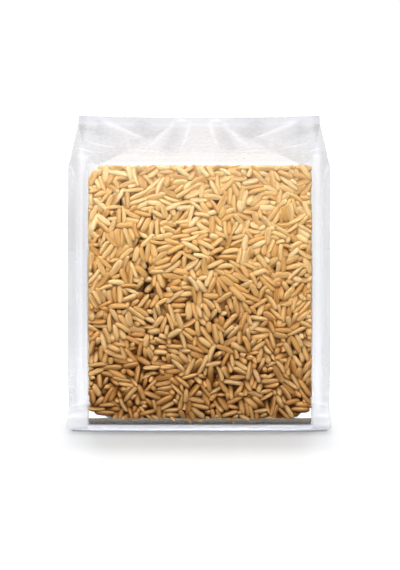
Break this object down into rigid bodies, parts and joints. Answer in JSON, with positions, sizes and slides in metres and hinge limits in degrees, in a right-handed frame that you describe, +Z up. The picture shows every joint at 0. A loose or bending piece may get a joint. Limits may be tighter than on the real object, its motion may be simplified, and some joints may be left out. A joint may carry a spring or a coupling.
{
  "type": "clear bag of oats",
  "caption": "Clear flat-bottomed bag filled with oat groats, with corner fins, tucked side gussets and a sealed gable top.",
  "frame": {"origin": "on the floor under the middle of the bag", "axes": "+Z up to the top seal, the front panel faces -Y, +X to the right as seen from the front"},
  "size_m": [0.1264, 0.0824, 0.1539],
  "materials": {
    "oats_in_film": "clear glossy film over golden tan oat groats"
  },
  "bodies": {
    "root": {"bag": "oats_in_film"}
  },
  "joints": []
}
